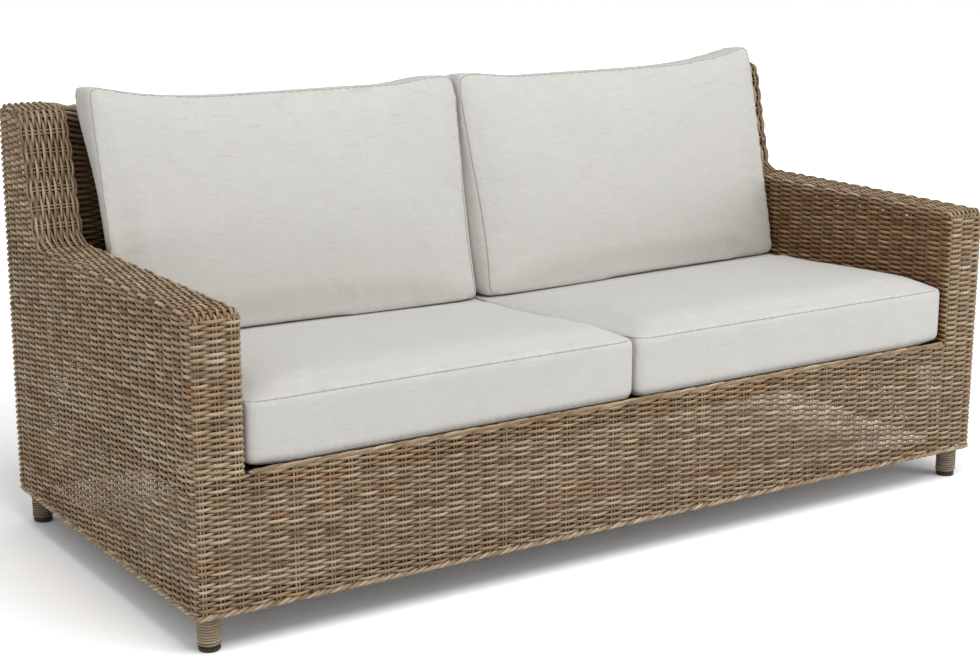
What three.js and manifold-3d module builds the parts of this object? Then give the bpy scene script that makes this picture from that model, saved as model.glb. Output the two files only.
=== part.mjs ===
// Rattan garden sofa: a frame of rattan poles, woven skins over it, and loose boxed cushions.
// Millimetres, +Z up. The origin is on the ground in the middle of the footprint.
// The front faces -Y, and left means -X, as someone standing before the sofa sees it.
import * as THREE from "three";
import { mergeVertices } from "three/addons/utils/BufferGeometryUtils.js";
import Module from "manifold-3d";

const wasm = await Module();
wasm.setup();

// Overall form
const sofaWidth = 1900;
const sofaDepth = 888;
const backHeight = 875;
const armFrontHeight = 614;
const armRearHeight = 616;
const armWidth = 105;
const apronHeight = 327;
const skirtHeight = 66;
// How far in front of the rear face the back's sloping front lies, at the arm and at the top
const wingBaseDepth = 194;
const backTopDepth = 132;
const wingFillet = 30;
// How far the woven back is set in behind the front faces of its two ends
const backInset = 26;

// Clearances: between touching pieces, and round the loose cushions
const seatGap = 0.3;
const cushionGap = 2;
// How far a cutting solid runs past what it cuts
const overrun = 5;

// Woven skins: stakes stand in pairs, and one modelled course stands for several rows of weavers
const skinThickness = 12;
const stakePitch = 37;
const weaverPitch = 5.6;
const frontRowsPerCourse = 6;
const backRowsPerCourse = 12;
const weaveRelief = 6;
const innerBend = 2;
const edgeDrop = 26;
const bendSteps = 3;

// Rope rims on the open edges: three strands laid round each other
const ropeStep = 36;
const ropeTurnPerStep = Math.PI / 3;
const ropeValleyShare = 0.72;
const ropeStrands = 3;

// Rattan poles
const legRadius = 18;
const legInset = 39;
const poleRadius = 14;
const lowerRailLift = 2;
const stileInset = 20;
const poleFacets = 12;

// Feet: a glide under each leg and a coil of split cane round it
const glideHeight = 8;
const glideRadius = 20;
const glideBevel = 2;
const wrapTurnWidth = 11.2;
const wrapCaneThickness = 3.7;
const wrapGroove = 1.3;

// Slats of the seat deck
const slatCount = 5;
const slatWidth = 78;
const slatThickness = 12;
const deckFrontInset = 14;
const deckDrop = 10;

// Seat cushions: crowned towards the front, and lower at the rear, where the back cushions stand
const seatSetback = 14;
const seatBand = 126;
const seatCrown = 22;
const seatFall = 9;
const seatWaist = 4;

// Back cushions
const backCushionRise = 41;
const backBand = 126;
const backCrown = 32;
const backWaist = 8;
const backTopSag = 26;

// Covers and zips
const coverThickness = 2.5;
const zipLength = 620;
const zipWidth = 4;
const cushionColumns = 4;
const cushionRows = 4;

// Worked out from the sizes above
const halfWidth = sofaWidth / 2;
const halfDepth = sofaDepth / 2;
const armInner = halfWidth - armWidth;
const skinBehind = skinThickness + seatGap;
const wingBaseY = halfDepth - wingBaseDepth;
const wingTopY = halfDepth - backTopDepth;
const lean = Math.atan((wingTopY - wingBaseY) / (backHeight - armRearHeight));
const armSlope = Math.atan((armRearHeight - armFrontHeight) / (wingBaseY + halfDepth));
const edgeRadius = skinThickness + innerBend;
const frontCourse = weaverPitch * frontRowsPerCourse;
const backCourse = weaverPitch * backRowsPerCourse;
const ropeRadius = skinThickness / 2;
const legX = halfWidth - legInset;
const legY = halfDepth - legInset;
const railX = halfWidth - skinBehind - poleRadius;
const railY = halfDepth - skinBehind - poleRadius;
const lowerRailZ = skirtHeight + lowerRailLift + poleRadius;
const skinBottom = skirtHeight + 2 * ropeRadius + seatGap;
const deckTop = apronHeight - deckDrop;
const seatBottom = deckTop + seatGap;
const seatRailZ = deckTop - slatThickness - seatGap - poleRadius;

// Height of the arm's top at a place along the depth
function armTopAt(y) {
  return armFrontHeight + (y + halfDepth) * Math.tan(armSlope);
}

// Where the sloping front of the back lies at a height, moved back square to the slope
function leanAt(z, behind = 0) {
  return wingBaseY + (z - armRearHeight) * Math.tan(lean) + behind / Math.cos(lean);
}

const rearSeatRailY = leanAt(seatRailZ, backInset + skinBehind + poleRadius);

// Materials
function finish(color, roughness) {
  return new THREE.MeshStandardMaterial({ color, roughness, metalness: 0 });
}

const wovenRattan = finish(0x94805f, 0.72);
const ropeRattan = finish(0x8a7350, 0.74);
const splitCane = finish(0xa08c6b, 0.7);
const rattanPole = finish(0xb08f62, 0.6);
const slatWood = finish(0xa9855a, 0.65);
const glidePlastic = finish(0x2b2723, 0.5);
const linen = finish(0xd3d1cb, 0.95);
const foam = finish(0xe6dfc8, 0.9);

const sofa = new THREE.Group();

function add(name, geometry, material, parent = sofa) {
  const mesh = new THREE.Mesh(geometry, material);
  mesh.name = name;
  parent.add(mesh);
  return mesh;
}

// Left and right, with the sign of their X
const sides = { left: -1, right: 1 };
const xAxis = vector(1, 0, 0);
const yAxis = vector(0, 1, 0);
const zAxis = vector(0, 0, 1);

function vector(x, y, z) {
  return new THREE.Vector3(x, y, z);
}

// Turns a flat panel, drawn in X and Y with its outer face at Z = 0, to face along a normal
function face(mesh, normal, up, position) {
  const across = new THREE.Vector3().crossVectors(up, normal);
  mesh.quaternion.setFromRotationMatrix(new THREE.Matrix4().makeBasis(across, up, normal));
  mesh.position.copy(position);
  return mesh;
}

function solidOf(geometry) {
  const bare = geometry.clone();
  bare.deleteAttribute("normal");
  bare.deleteAttribute("uv");
  const merged = mergeVertices(bare);
  const vertProperties = merged.attributes.position.array;
  const triVerts = new Uint32Array(merged.index.array);
  return new wasm.Manifold(new wasm.Mesh({ numProp: 3, vertProperties, triVerts }));
}

function geometryOf(solid) {
  const mesh = solid.getMesh();
  const geometry = new THREE.BufferGeometry();
  geometry.setAttribute("position", new THREE.BufferAttribute(mesh.vertProperties, 3));
  geometry.setIndex(new THREE.BufferAttribute(mesh.triVerts, 1));
  geometry.computeVertexNormals();
  return geometry;
}

function meshOf(points, triangles) {
  const geometry = new THREE.BufferGeometry().setFromPoints(points);
  geometry.setIndex(triangles);
  geometry.computeVertexNormals();
  return geometry;
}

// A closed solid between two grids of points: an outer one that faces +Z and an inner one below it.
// The diagonals of the outer grid's cells run between odd crossings, so even ones stand out whole.
function closedGrid(columns, rows, outer, inner) {
  const points = [];
  const triangles = [];
  for (const place of [outer, inner])
    for (let j = 0; j <= rows; j++) for (let i = 0; i <= columns; i++) points.push(place(i, j));
  const at = (i, j) => j * (columns + 1) + i;
  const below = (columns + 1) * (rows + 1);
  for (let j = 0; j < rows; j++)
    for (let i = 0; i < columns; i++) {
      const ring = [at(i, j), at(i + 1, j), at(i + 1, j + 1), at(i, j + 1)];
      const first = (i + j) % 2 === 0 ? 1 : 0;
      const [a, b, c, d] = [0, 1, 2, 3].map((k) => ring[(k + first) % ring.length]);
      triangles.push(a, b, c, a, c, d);
      triangles.push(below + a, below + c, below + b, below + a, below + d, below + c);
    }
  const rim = [];
  for (let i = 0; i < columns; i++) rim.push(at(i, 0));
  for (let j = 0; j < rows; j++) rim.push(at(columns, j));
  for (let i = columns; i > 0; i--) rim.push(at(i, rows));
  for (let j = rows; j > 0; j--) rim.push(at(0, j));
  rim.forEach((a, k) => {
    const b = rim[(k + 1) % rim.length];
    triangles.push(below + a, below + b, b, below + a, b, a);
  });
  return meshOf(points, triangles);
}

// Plain weave: a course passes over every other stake pair, and its neighbours over the rest
function weaveDepth(pair, course) {
  return (pair + course) % 2 === 0 ? 0 : weaveRelief;
}

// A flat woven skin with its outer face at Z = 0, cut to an outline. Stakes stand along Y.
function wovenPanel(outline, courseHeight = frontCourse) {
  const box = new THREE.Box2().setFromPoints(outline.getPoints());
  const middle = box.getCenter(new THREE.Vector2());
  const size = box.getSize(new THREE.Vector2());
  const pairs = Math.ceil((size.x / 2 + overrun) / stakePitch);
  const courses = Math.ceil((size.y / 2 + overrun) / courseHeight);
  const crossing = (i, j, z) =>
    vector(middle.x + (i - pairs) * stakePitch, middle.y + (j - courses) * courseHeight, z);
  const slab = closedGrid(
    2 * pairs,
    2 * courses,
    (i, j) => crossing(i, j, -weaveDepth(i, j)),
    (i, j) => crossing(i, j, -skinThickness - overrun),
  );
  const depth = skinThickness + overrun;
  const cutter = new THREE.ExtrudeGeometry(outline, { depth, bevelEnabled: false });
  cutter.translate(0, 0, -skinThickness);
  return geometryOf(solidOf(slab).intersect(solidOf(cutter)));
}

function rectangle(left, right, bottom, top) {
  const shape = new THREE.Shape();
  shape.moveTo(left, bottom);
  shape.lineTo(right, bottom);
  shape.lineTo(right, top);
  shape.lineTo(left, top);
  shape.closePath();
  return shape;
}

// A line through corner points, each with its own bend radius, drawn as lines and arcs
function bentPath(corners) {
  const path = new THREE.Path();
  path.moveTo(corners[0].x, corners[0].y);
  for (let k = 1; k < corners.length - 1; k++) {
    const corner = corners[k];
    const back = new THREE.Vector2().subVectors(corners[k - 1], corner).normalize();
    const ahead = new THREE.Vector2().subVectors(corners[k + 1], corner).normalize();
    const halfTurn = Math.acos(back.dot(ahead)) / 2;
    const start = corner.clone().addScaledVector(back, corner.radius / Math.tan(halfTurn));
    const toCentre = new THREE.Vector2().addVectors(back, ahead).normalize();
    const centre = corner.clone().addScaledVector(toCentre, corner.radius / Math.sin(halfTurn));
    const from = Math.atan2(start.y - centre.y, start.x - centre.x);
    const clockwise = back.cross(ahead) > 0;
    const sweep = (Math.PI - 2 * halfTurn) * (clockwise ? -1 : 1);
    path.lineTo(start.x, start.y);
    path.absarc(centre.x, centre.y, corner.radius, from, from + sweep, clockwise);
  }
  const last = corners[corners.length - 1];
  path.lineTo(last.x, last.y);
  return path;
}

// The lines and arcs of a bent path, without the slivers that rounding leaves between them
function pathPieces(corners) {
  return bentPath(corners).curves.filter((piece) => piece.getLength() > seatGap);
}

function corner(y, z, radius = 0) {
  const point = new THREE.Vector2(y, z);
  point.radius = radius;
  return point;
}

// The sofa's silhouette from the side, over the arm and the back, as corners in Y and Z
const armFrontCorner = corner(-halfDepth, armFrontHeight, edgeRadius);
const wingBaseCorner = corner(wingBaseY, armRearHeight, wingFillet);
const wingTopCorner = corner(wingTopY, backHeight, edgeRadius);
const rearTopCorner = corner(halfDepth, backHeight, edgeRadius);
const rearDropCorner = corner(halfDepth, backHeight - edgeDrop);

// The point a way before or past the end of a bent path
function pastEnd({ point, inward }, distance) {
  return new THREE.Vector2(-inward.y, inward.x).multiplyScalar(distance).add(point);
}

// A woven strip bent over a path in Y and Z. The weavers run along it and the stakes across it.
function wovenStrip(corners, left, right, courseHeight = frontCourse) {
  const stations = [];
  for (const piece of pathPieces(corners)) {
    const straight = piece.isLineCurve;
    const steps = straight ? Math.max(1, Math.round(piece.getLength() / stakePitch)) : bendSteps;
    for (let k = stations.length ? 1 : 0; k <= steps; k++) {
      const along = piece.getTangent(k / steps);
      const inward = new THREE.Vector2(along.y, -along.x);
      const onLine = straight && k > 0 && k < steps;
      stations.push({ point: piece.getPoint(k / steps), inward, onLine });
    }
  }
  const offset = ({ point, inward }, depth) => point.clone().addScaledVector(inward, depth);
  const turns = stations.filter((station) => !station.onLine);
  const section = [
    ...turns.map((station) => offset(station, -overrun)),
    ...turns.map((station) => offset(station, skinThickness)).reverse(),
  ];
  // The woven grid runs past the strip's ends and sides, and the section then trims it
  const first = stations[0];
  const last = stations[stations.length - 1];
  stations.unshift({ ...first, point: pastEnd(first, -overrun) });
  stations.push({ ...last, point: pastEnd(last, overrun) });
  const [start, end] = [left - overrun, right + overrun];
  const courses = Math.max(2, Math.round((end - start) / courseHeight));
  const place = (i, j, depth) => {
    const inside = offset(stations[j], depth);
    return vector(start + ((end - start) * i) / courses, inside.x, inside.y);
  };
  const strip = closedGrid(
    courses,
    stations.length - 1,
    (i, j) => place(i, j, weaveDepth(i, j)),
    (i, j) => place(i, j, skinThickness + innerBend / 2),
  );
  const depth = right - left;
  const cutter = new THREE.ExtrudeGeometry(new THREE.Shape(section), { depth, bevelEnabled: false });
  cutter.applyMatrix4(new THREE.Matrix4().makeBasis(yAxis, zAxis, xAxis));
  cutter.translate(left, 0, 0);
  return geometryOf(solidOf(strip).intersect(solidOf(cutter)));
}

// A closed solid through rings of points, each ring turning the same way about its own centre
function loft(rings) {
  const count = rings[0].length;
  const points = rings.flat();
  const triangles = [];
  for (let k = 0; k + 1 < rings.length; k++)
    for (let i = 0; i < count; i++) {
      const [a, b] = [k * count + i, k * count + ((i + 1) % count)];
      triangles.push(a, b, b + count, a, b + count, a + count);
    }
  for (const [ring, turned] of [
    [0, true],
    [rings.length - 1, false],
  ]) {
    const middle = new THREE.Vector3();
    for (const point of rings[ring]) middle.addScaledVector(point, 1 / count);
    points.push(middle);
    for (let i = 0; i < count; i++) {
      const [a, b] = [ring * count + i, ring * count + ((i + 1) % count)];
      triangles.push(points.length - 1, turned ? b : a, turned ? a : b);
    }
  }
  return meshOf(points, triangles);
}

// A laid rope along +Z, as thick as the skin that it closes
function rope(length) {
  const steps = Math.round(length / ropeStep);
  const rings = [];
  for (let k = 0; k <= steps; k++) {
    const ring = [];
    for (let i = 0; i < 2 * ropeStrands; i++) {
      const angle = (Math.PI * i) / ropeStrands + k * ropeTurnPerStep;
      const radius = ropeRadius * (i % 2 === 0 ? 1 : ropeValleyShare);
      const [x, y] = [radius * Math.cos(angle), radius * Math.sin(angle)];
      ring.push(vector(x, y, (length * k) / steps));
    }
    rings.push(ring);
  }
  return loft(rings);
}

function addRope(name, from, to) {
  const mesh = add(name, rope(from.distanceTo(to)), ropeRattan);
  const along = new THREE.Vector3().subVectors(to, from).normalize();
  mesh.quaternion.setFromUnitVectors(zAxis, along);
  mesh.position.copy(from);
}

function addPole(name, from, to, radius = poleRadius) {
  const length = from.distanceTo(to);
  const pole = new THREE.CylinderGeometry(radius, radius, length, poleFacets);
  const mesh = add(name, pole, rattanPole);
  const along = new THREE.Vector3().subVectors(to, from).normalize();
  mesh.quaternion.setFromUnitVectors(yAxis, along);
  mesh.position.copy(from).lerp(to, 1 / 2);
}

// Legs: the front ones end under the arm rails, the rear ones under the woven top
const frontLegTop =
  armTopAt(-legY - legRadius) - (skinBehind + 2 * poleRadius + seatGap) / Math.cos(armSlope);
const rearLegTop = backHeight - skinBehind;

function glideProfile() {
  return [
    [0, 0],
    [glideRadius - glideBevel, 0],
    [glideRadius, glideBevel],
    [glideRadius, glideHeight],
    [0, glideHeight],
  ].map(([r, z]) => new THREE.Vector2(r, z));
}

// Split cane wound round the leg between the glide and the lower rails
function wrapProfile() {
  const bottom = glideHeight + seatGap;
  const top = lowerRailZ - poleRadius - seatGap;
  const inner = legRadius + seatGap;
  const outer = inner + wrapCaneThickness;
  const turns = Math.round((top - bottom) / wrapTurnWidth);
  const profile = [new THREE.Vector2(inner, bottom)];
  for (let k = 0; k < turns; k++) {
    const start = bottom + ((top - bottom) * k) / turns;
    const middle = bottom + ((top - bottom) * (k + 1 / 2)) / turns;
    profile.push(new THREE.Vector2(outer - wrapGroove, start));
    profile.push(new THREE.Vector2(outer, middle));
  }
  profile.push(new THREE.Vector2(outer - wrapGroove, top));
  profile.push(new THREE.Vector2(inner, top));
  profile.push(profile[0].clone());
  return profile;
}

function addLegs() {
  for (const [side, sx] of Object.entries(sides))
    for (const [end, sy, top] of [
      ["front", -1, frontLegTop],
      ["rear", 1, rearLegTop],
    ]) {
      const leg = new THREE.Group();
      leg.position.set(sx * legX, sy * legY, 0);
      sofa.add(leg);
      const bottom = glideHeight + seatGap;
      const length = top - bottom;
      const pole = new THREE.CylinderGeometry(legRadius, legRadius, length, poleFacets);
      pole.rotateX(Math.PI / 2);
      pole.translate(0, 0, bottom + length / 2);
      add(`leg_${end}_${side}`, pole, rattanPole, leg);
      const glide = new THREE.LatheGeometry(glideProfile(), poleFacets).rotateX(Math.PI / 2);
      add(`glide_${end}_${side}`, glide, glidePlastic, leg);
      const wrap = new THREE.LatheGeometry(wrapProfile(), poleFacets).rotateX(Math.PI / 2);
      add(`foot_wrap_${end}_${side}`, wrap, splitCane, leg);
    }
}

// Rails between the legs, low down behind the skirt and again under the seat
function addRails() {
  const endX = legX - legRadius - seatGap;
  const endY = legY - legRadius - seatGap;
  for (const [level, z] of [
    ["lower", lowerRailZ],
    ["seat", seatRailZ],
  ]) {
    addPole(`${level}_rail_front`, vector(-endX, -railY, z), vector(endX, -railY, z));
    for (const [side, sx] of Object.entries(sides))
      addPole(`${level}_rail_${side}`, vector(sx * railX, -endY, z), vector(sx * railX, endY, z));
  }
  addPole("lower_rail_rear", vector(-endX, railY, lowerRailZ), vector(endX, railY, lowerRailZ));
  const innerX = railX - poleRadius - seatGap;
  const rear = [-innerX, innerX].map((x) => vector(x, rearSeatRailY, seatRailZ));
  addPole("seat_rail_rear", ...rear);
  const beamStart = -railY + poleRadius + seatGap;
  const beamEnd = rearSeatRailY - poleRadius - seatGap;
  addPole("seat_beam", vector(0, beamStart, seatRailZ), vector(0, beamEnd, seatRailZ));
}

// The post that holds the inner side of the arm, and the rail under the arm's top
const armPostX = armInner + skinBehind + poleRadius;

function addArmFrames() {
  const under = (skinBehind + poleRadius) / Math.cos(armSlope);
  const railStart = -halfDepth + edgeRadius + seatGap + poleRadius * Math.sin(armSlope);
  const railEnd = legY - legRadius - seatGap - poleRadius * Math.sin(armSlope);
  const postBottom = seatRailZ + poleRadius + seatGap;
  const postTop = armTopAt(-railY - poleRadius) - (edgeRadius + seatGap) / Math.cos(armSlope);
  for (const [side, sx] of Object.entries(sides)) {
    const ends = [railStart, railEnd].map((y) => vector(sx * legX, y, armTopAt(y) - under));
    addPole(`arm_rail_${side}`, ...ends);
    const post = [postBottom, postTop].map((z) => vector(sx * armPostX, -railY, z));
    addPole(`arm_post_${side}`, ...post);
  }
}

// Raked stiles behind the woven back, and the top rail behind them, from rear leg to rear leg
function addBackFrame() {
  const seated = (poleRadius + seatGap) * Math.cos(lean);
  const bottom = seatRailZ + seated;
  const top = backHeight - edgeRadius - seatGap - poleRadius * Math.sin(lean);
  const stileX = armInner - stileInset;
  for (const [place, x] of [
    ["left", -stileX],
    ["centre", 0],
    ["right", stileX],
  ]) {
    const behind = backInset + skinBehind + poleRadius;
    const ends = [bottom, top].map((z) => vector(x, leanAt(z, behind), z));
    addPole(`back_stile_${place}`, ...ends);
  }
  const z = backHeight - skinBehind - poleRadius;
  const y = leanAt(z, backInset + skinBehind + 3 * poleRadius + seatGap);
  const endX = legX - legRadius - seatGap;
  addPole("back_top_rail", vector(-endX, y, z), vector(endX, y, z));
}

// Slats across the seat rails. The first lies on the front rail, between the arm posts.
function addSlats() {
  const front = -halfDepth + deckFrontInset;
  const rear = leanAt(deckTop - slatThickness, backInset) - seatGap;
  const pitch = (rear - front - slatWidth) / (slatCount - 1);
  for (let k = 0; k < slatCount; k++) {
    const behindLegs = -legY + legRadius + seatGap;
    const start = k === 0 ? front : Math.max(front + k * pitch, behindLegs);
    const half = k === 0 ? armPostX - poleRadius - seatGap : railX;
    const slat = new THREE.BoxGeometry(2 * half, slatWidth, slatThickness);
    const mesh = add(`seat_slat_${k + 1}`, slat, slatWood);
    mesh.position.set(0, start + slatWidth / 2, deckTop - slatThickness / 2);
  }
}

// The outer side: the whole silhouette from the skirt's rim up
function sideOutline(turn) {
  const corners = [
    corner(-halfDepth, skinBottom),
    armFrontCorner,
    wingBaseCorner,
    wingTopCorner,
    rearTopCorner,
    corner(halfDepth, skinBottom),
  ];
  const points = [corners[0]];
  for (const piece of pathPieces(corners))
    points.push(...piece.getPoints(piece.isLineCurve ? 1 : bendSteps).slice(1));
  return new THREE.Shape(points.map((p) => new THREE.Vector2(turn * p.x, p.y)));
}

// The arm's inner side, from the seat deck up to the woven arm top. At the rear it runs on up
// beside the set-in back, behind the front face of the back's end.
function armInnerOutline(turn) {
  const front = -halfDepth + edgeRadius + seatGap;
  const bottom = deckTop + seatGap;
  const top = backHeight - edgeRadius - seatGap;
  const under = skinBehind / Math.cos(armSlope);
  const wingBase = armRearHeight - under;
  const behind = backInset + skinThickness;
  const filletDepth = skinBehind + wingFillet * (1 / Math.cos(lean / 2) - Math.cos(lean));
  return new THREE.Shape(
    [
      [front, bottom],
      [leanAt(bottom, behind), bottom],
      [leanAt(top, behind), top],
      [leanAt(top, skinBehind), top],
      [leanAt(wingBase + wingFillet, skinBehind), wingBase + wingFillet],
      [leanAt(wingBase, filletDepth), wingBase - (filletDepth - skinBehind)],
      [leanAt(wingBase) - wingFillet, armTopAt(leanAt(wingBase) - wingFillet) - under],
      [front, armTopAt(front) - under],
    ].map(([y, z]) => new THREE.Vector2(turn * y, z)),
  );
}

function addArmSkins() {
  for (const [side, sx] of Object.entries(sides)) {
    const outer = add(`skin_side_${side}`, wovenPanel(sideOutline(sx)), wovenRattan);
    face(outer, vector(sx, 0, 0), zAxis, vector(sx * halfWidth, 0, 0));
    const inner = add(`skin_arm_inner_${side}`, wovenPanel(armInnerOutline(-sx)), wovenRattan);
    face(inner, vector(-sx, 0, 0), zAxis, vector(sx * armInner, 0, 0));
    const outerX = halfWidth - skinBehind;
    const [left, right] = sx < 0 ? [-outerX, -armInner] : [armInner, outerX];
    const frontTop = armFrontHeight - edgeDrop - seatGap;
    const front = wovenPanel(rectangle(left, right, skinBottom, frontTop));
    face(add(`skin_arm_front_${side}`, front, wovenRattan), ...facingFront());
    const noseCorner = corner(-halfDepth, armFrontHeight - edgeDrop);
    const corners = [
      noseCorner,
      armFrontCorner,
      wingBaseCorner,
      wingTopCorner,
      rearTopCorner,
      rearDropCorner,
    ];
    add(`skin_arm_top_${side}`, wovenStrip(corners, left, right), wovenRattan);
  }
}

function facingFront() {
  return [vector(0, -1, 0), zAxis, vector(0, -halfDepth, 0)];
}

// The apron, the outer back, and the sloping inner back with its bent-over top
function addBodySkins() {
  const halfSeat = armInner - seatGap;
  const apronTop = apronHeight - 2 * ropeRadius - seatGap;
  const apron = wovenPanel(rectangle(-halfSeat, halfSeat, skinBottom, apronTop));
  face(add("skin_apron", apron, wovenRattan), ...facingFront());
  const outerX = halfWidth - skinBehind;
  const backTop = backHeight - edgeDrop - seatGap;
  const back = wovenPanel(rectangle(-outerX, outerX, skinBottom, backTop), backCourse);
  face(add("skin_back_outer", back, wovenRattan), yAxis, zAxis, vector(0, halfDepth, 0));
  const slope = vector(0, Math.sin(lean), Math.cos(lean));
  const bottom = seatRailZ + poleRadius + seatGap + skinThickness * Math.sin(lean);
  const length = (backHeight - edgeDrop - seatGap - bottom) / Math.cos(lean);
  const inner = wovenPanel(rectangle(-halfSeat, halfSeat, 0, length), backCourse);
  const normal = vector(0, -Math.cos(lean), Math.sin(lean));
  const foot = vector(0, leanAt(bottom, backInset), bottom);
  face(add("skin_back_inner", inner, wovenRattan), normal, slope, foot);
  const dropZ = backHeight - edgeDrop;
  const corners = [
    corner(leanAt(dropZ, backInset), dropZ),
    corner(leanAt(backHeight, backInset), backHeight, edgeRadius),
    rearTopCorner,
    rearDropCorner,
  ];
  add("skin_back_top", wovenStrip(corners, -halfSeat, halfSeat, backCourse), wovenRattan);
}

function addRims() {
  const halfSeat = armInner - seatGap;
  const frontY = -halfDepth + ropeRadius;
  const topZ = apronHeight - ropeRadius;
  addRope("rim_apron", vector(-halfSeat, frontY, topZ), vector(halfSeat, frontY, topZ));
  const z = skirtHeight + ropeRadius;
  const endX = halfWidth - skinBehind;
  for (const [end, sy] of [
    ["front", -1],
    ["rear", 1],
  ])
    addRope(`rim_skirt_${end}`, vector(-endX, -sy * frontY, z), vector(endX, -sy * frontY, z));
  for (const [side, sx] of Object.entries(sides)) {
    const x = sx * (halfWidth - ropeRadius);
    addRope(`rim_skirt_${side}`, vector(x, -halfDepth, z), vector(x, halfDepth, z));
  }
}

// How high a cushion's upper face lies over its flat one, at shares of its half width and length
function topOf(size, u, v) {
  const forward = size.crownedNear ? (1 - v) / 2 : 1;
  const crown = size.crown * (1 - u ** 4) * (1 - v ** 4) * forward;
  return size.band + crown - (size.fall * (1 + v)) / 2;
}

// A boxed cushion as a closed solid: an upright band round it, a crowned face on top, waisted
// sides and a sagging far edge. It lies in X and Y with its flat face at Z = 0.
function pillow(size, inset) {
  const across = (i) => (2 * i) / cushionColumns - 1;
  const along = (j) => (2 * j) / cushionRows - 1;
  const place = (i, j) => {
    const [u, v] = [across(i), along(j)];
    const halfX = size.width / 2 - inset - size.waist * (1 - v * v);
    const sag = v > 0 ? size.sag * (1 - u * u) : 0;
    const halfY = size.length / 2 - inset - sag;
    return [u * halfX, v * halfY];
  };
  return closedGrid(
    cushionColumns,
    cushionRows,
    (i, j) => vector(...place(i, j), topOf(size, across(i), along(j)) - inset),
    (i, j) => vector(...place(i, j), inset),
  );
}

// The cover is a shell with a zip slot through one band, and the foam fills it
function coverAndCore(size) {
  const zipY = size.zipSide * (size.length / 2);
  const slot = new THREE.BoxGeometry(zipLength, 2 * (coverThickness + overrun), zipWidth);
  slot.translate(0, zipY, size.band / 2);
  const shell = solidOf(pillow(size, 0)).subtract(solidOf(pillow(size, coverThickness)));
  return [geometryOf(shell.subtract(solidOf(slot))), pillow(size, coverThickness + seatGap)];
}

const seatFrontY = -halfDepth + seatSetback;
const seatRearY = leanAt(deckTop, backInset) - cushionGap;
const cushionWidth = armInner - cushionGap - cushionGap / 2;
const cushionX = cushionGap / 2 + cushionWidth / 2;

const seatSize = {
  width: cushionWidth,
  length: seatRearY - seatFrontY,
  band: seatBand,
  crown: seatCrown,
  crownedNear: true,
  fall: seatFall,
  waist: seatWaist,
  sag: 0,
  zipSide: 1,
};

// A back cushion stands with its lower front edge on the last strip of the seat's upper face
const backBandAcross = backBand / Math.cos(lean);
const seatMiddleY = (seatFrontY + seatRearY) / 2;
const standY = leanAt(seatBottom + seatBand, backInset - cushionGap) - backBandAcross;
const standPlace = (standY - seatMiddleY) / (seatSize.length / 2);
const lastRow = 1 - 2 / cushionRows;
const standShare = (standPlace - lastRow) / (1 - lastRow);
const standHeights = [topOf(seatSize, 0, lastRow), topOf(seatSize, 0, 1)];
const standHeight = THREE.MathUtils.lerp(...standHeights, standShare);
const backCushionBottom = seatBottom + standHeight + seatGap;
const backCushionHeight = backHeight + backCushionRise - backCushionBottom;

const backSize = {
  width: cushionWidth,
  length: backCushionHeight,
  band: backBandAcross,
  crown: backCrown,
  crownedNear: false,
  fall: 0,
  waist: backWaist,
  sag: backTopSag,
  zipSide: -1,
};

function addCushions() {
  const backMiddle = backCushionBottom + backCushionHeight / 2;
  const sheared = new THREE.Matrix4().makeBasis(
    xAxis,
    vector(0, Math.tan(lean), 1),
    vector(0, -1, 0),
  );
  for (const [side, sx] of Object.entries(sides)) {
    const seat = new THREE.Group();
    seat.position.set(sx * cushionX, (seatFrontY + seatRearY) / 2, seatBottom);
    sofa.add(seat);
    const [seatCover, seatCore] = coverAndCore(seatSize);
    add(`seat_cover_${side}`, seatCover, linen, seat);
    add(`seat_foam_${side}`, seatCore, foam, seat);
    const back = new THREE.Group();
    back.position.set(sx * cushionX, leanAt(backMiddle, backInset - cushionGap), backMiddle);
    sofa.add(back);
    const [backCover, backCore] = coverAndCore(backSize);
    add(`back_cover_${side}`, backCover.applyMatrix4(sheared), linen, back);
    add(`back_foam_${side}`, backCore.applyMatrix4(sheared), foam, back);
  }
}

addLegs();
addRails();
addArmFrames();
addBackFrame();
addSlats();
addArmSkins();
addBodySkins();
addRims();
addCushions();

export default sofa;
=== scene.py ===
import itertools
import math

import bpy
import numpy as np
from mathutils import Matrix, Vector


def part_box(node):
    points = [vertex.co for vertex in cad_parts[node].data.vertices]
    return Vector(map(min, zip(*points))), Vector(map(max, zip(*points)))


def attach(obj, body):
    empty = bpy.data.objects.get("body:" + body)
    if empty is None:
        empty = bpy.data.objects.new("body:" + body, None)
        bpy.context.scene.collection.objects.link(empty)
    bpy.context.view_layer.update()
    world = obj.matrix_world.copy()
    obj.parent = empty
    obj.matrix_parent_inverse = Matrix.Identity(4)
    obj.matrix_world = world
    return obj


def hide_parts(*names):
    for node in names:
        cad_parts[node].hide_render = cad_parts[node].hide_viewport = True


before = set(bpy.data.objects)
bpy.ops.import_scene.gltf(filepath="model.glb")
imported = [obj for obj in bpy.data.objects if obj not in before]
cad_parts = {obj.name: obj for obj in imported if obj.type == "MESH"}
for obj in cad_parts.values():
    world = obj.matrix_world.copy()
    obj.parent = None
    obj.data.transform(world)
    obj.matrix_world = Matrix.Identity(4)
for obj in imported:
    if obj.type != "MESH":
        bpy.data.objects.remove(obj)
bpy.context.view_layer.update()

# Overall form of the sofa, in metres, as the frame has it
LOW, HIGH = np.array(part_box("skin_side_left"))
HALF_WIDTH = -LOW[0]
HALF_DEPTH = HIGH[1]
BACK_TOP = HIGH[2]
ARM_WIDTH = 0.105
ARM_INNER = HALF_WIDTH - ARM_WIDTH
ARM_FRONT_TOP = 0.614
ARM_REAR_TOP = 0.616
WING_BASE_Y = HALF_DEPTH - 0.194
WING_TOP_Y = HALF_DEPTH - 0.132
LEAN = math.atan((WING_TOP_Y - WING_BASE_Y) / (BACK_TOP - ARM_REAR_TOP))
BACK_INSET = 0.026
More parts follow.
